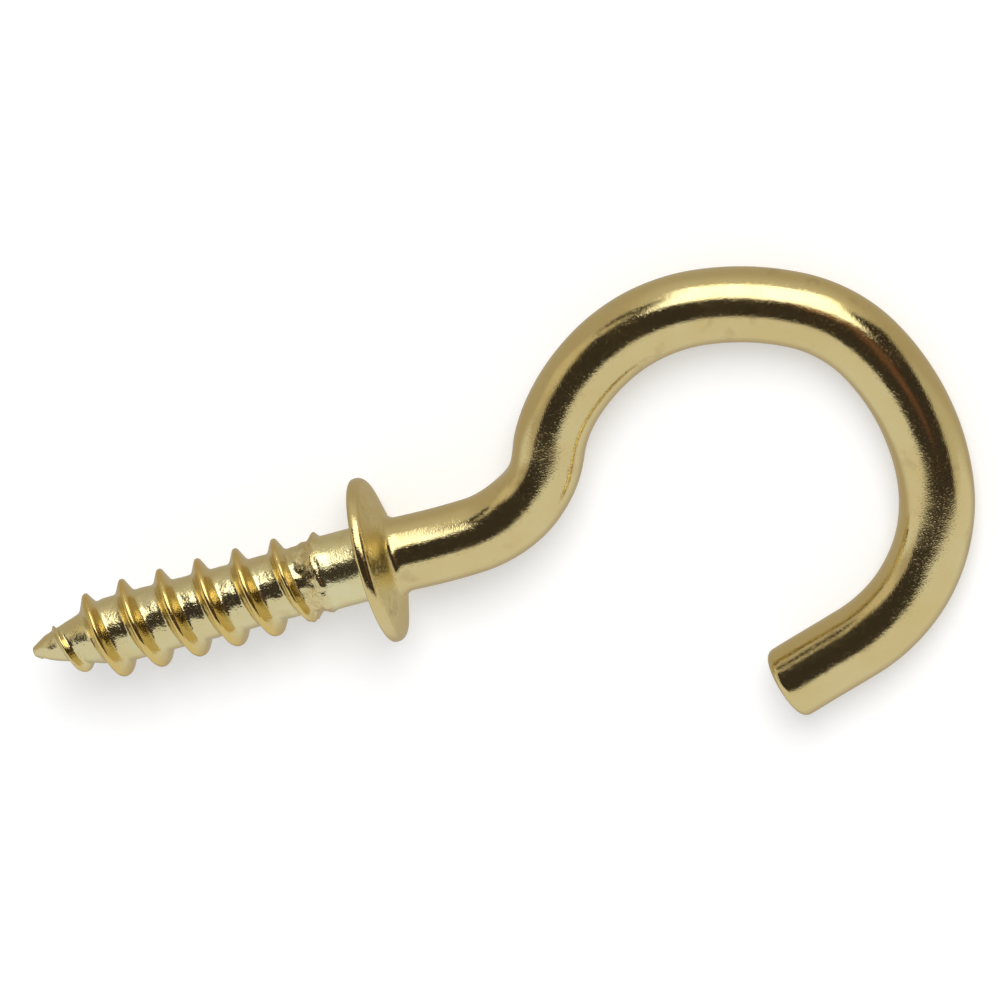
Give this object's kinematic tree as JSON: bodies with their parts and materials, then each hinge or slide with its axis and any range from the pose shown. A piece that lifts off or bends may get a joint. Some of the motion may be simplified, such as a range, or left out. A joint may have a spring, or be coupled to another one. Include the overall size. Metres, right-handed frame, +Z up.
{
  "type": "cup hook",
  "caption": "Shouldered screw-in cup hook of round wire: pointed wood-screw thread, collar that seats on the wall, and an open ring that holds a mug handle or a loop.",
  "frame": {"origin": "on the surface that the hook lies on, under the middle of its bounding box", "axes": "+X along the screw's plan from its tip to the ring, +Y towards the ring's first bend, +Z up; the hook lies on its collar's rim and the ring's far side"},
  "size_m": [0.0352, 0.0172, 0.0061],
  "materials": {
    "brass_plate": "bright electro-brass plate on steel wire, with a fine orange-peel grain"
  },
  "bodies": {
    "root": {"cup_hook": "brass_plate"}
  },
  "joints": []
}
